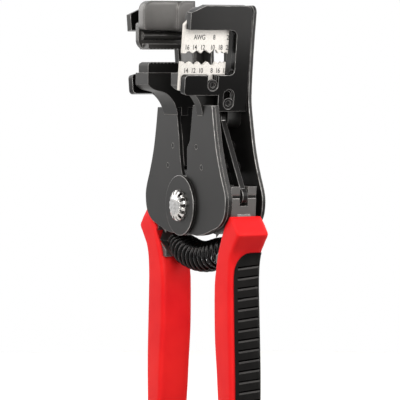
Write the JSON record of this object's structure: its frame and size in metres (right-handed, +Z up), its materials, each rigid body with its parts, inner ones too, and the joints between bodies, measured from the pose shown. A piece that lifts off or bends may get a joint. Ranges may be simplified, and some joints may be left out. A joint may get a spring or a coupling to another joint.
{
  "type": "wire stripper pliers",
  "caption": "Upright self-adjusting wire stripper with a gripping jaw head, a notched blade head, struts, one main pivot and two sprung handles.",
  "frame": {"origin": "on the main pivot's axis, at the flat face of the rear rivet head", "axes": "+X across the tool towards the blade head, +Y to the back along the main pivot, +Z up towards the jaws"},
  "size_m": [0.0916, 0.0356, 0.1895],
  "materials": {
    "black_steel": "satin black coating",
    "dark_steel": "blackened steel",
    "blade_steel": "fine ground",
    "chrome_cap": "polished",
    "spring_wire": "glossy black",
    "red_grip": "satin red vinyl",
    "rubber_inlay": "soft matt"
  },
  "bodies": {
    "grip_half": {"pivot_pin": "dark_steel", "pivot_disc": "black_steel", "pivot_cap": "chrome_cap", "rear_washer": "black_steel", "rear_head": "dark_steel", "grip_front_plate": "black_steel", "grip_back_plate": "black_steel", "grip_spacers": "dark_steel", "grip_lower_jaw": "black_steel", "grip_lower_pad": "dark_steel", "grip_guide_screws": "dark_steel", "handle_spring": "spring_wire"},
    "grip_jaw": {"grip_jaw_plate": "black_steel", "grip_jaw_block": "black_steel", "grip_upper_pad": "dark_steel", "grip_pad_screws": "dark_steel", "grip_jaw_pin": "dark_steel"},
    "grip_handle": {"grip_handle_core": "black_steel", "grip_yoke_pin": "dark_steel", "grip_handle_cover": "red_grip", "grip_handle_inlay": "rubber_inlay"},
    "grip_strut_body": {"grip_strut": "dark_steel"},
    "blade_half": {"blade_front_plate": "black_steel", "blade_inner_plate": "black_steel", "blade_back_plate": "black_steel", "blade_spacers": "dark_steel", "blade_lower_jaw": "black_steel", "lower_blade": "blade_steel", "blade_guide_screws": "dark_steel"},
    "blade_jaw": {"blade_jaw_plate": "black_steel", "blade_jaw_block": "black_steel", "upper_blade": "blade_steel", "blade_screws": "dark_steel", "blade_jaw_pin": "dark_steel"},
    "blade_handle": {"blade_handle_core": "black_steel", "blade_yoke_pin": "dark_steel", "blade_handle_cover": "red_grip", "blade_handle_inlay": "rubber_inlay"},
    "blade_strut_body": {"blade_strut": "dark_steel"}
  },
  "joints": [
    {"name": "spread", "type": "hinge", "parent": "grip_half", "child": "blade_half", "pos_m": [0, -0.01315, 0], "axis": [0, 1, 0], "range_deg": [0, 16], "stiffness_Nm_per_rad": 1.5, "springref_deg": -8.59, "deforming": ["handle_spring"]},
    {"name": "grip_squeeze", "type": "hinge", "parent": "grip_half", "child": "grip_handle", "pos_m": [0, -0.01315, 0], "axis": [0, -1, 0], "range_deg": [0, 6.5], "stiffness_Nm_per_rad": 1, "springref_deg": -8.59},
    {"name": "grip_jaw_slide", "type": "slide", "parent": "grip_half", "child": "grip_jaw", "axis": [0.1357, 0, -0.9907], "range_m": [0, 0.0047]},
    {"name": "grip_strut_turn", "type": "hinge", "parent": "grip_handle", "child": "grip_strut_body", "pos_m": [-0.035, -0.01315, 0.005], "axis": [0, -1, 0], "range_deg": [-8.5, 0]},
    {"name": "blade_squeeze", "type": "hinge", "parent": "blade_half", "child": "blade_handle", "pos_m": [0, -0.01315, 0], "axis": [0, 1, 0], "range_deg": [0, 4.7], "stiffness_Nm_per_rad": 1, "springref_deg": -8.59},
    {"name": "blade_jaw_slide", "type": "slide", "parent": "blade_half", "child": "blade_jaw", "axis": [-0.1357, 0, -0.9907], "range_m": [0, 0.0034]},
    {"name": "blade_strut_turn", "type": "hinge", "parent": "blade_handle", "child": "blade_strut_body", "pos_m": [0.035, -0.01315, 0.005], "axis": [0, 1, 0], "range_deg": [-6.2, 0]}
  ],
  "couplings": [
    {"joint": "grip_jaw_slide", "follows": "grip_squeeze", "m_per_rad": 0.04089},
    {"joint": "grip_strut_turn", "follows": "grip_squeeze", "ratio": -1.269},
    {"joint": "blade_jaw_slide", "follows": "blade_squeeze", "m_per_rad": 0.04118},
    {"joint": "blade_strut_turn", "follows": "blade_squeeze", "ratio": -1.2877}
  ]
}
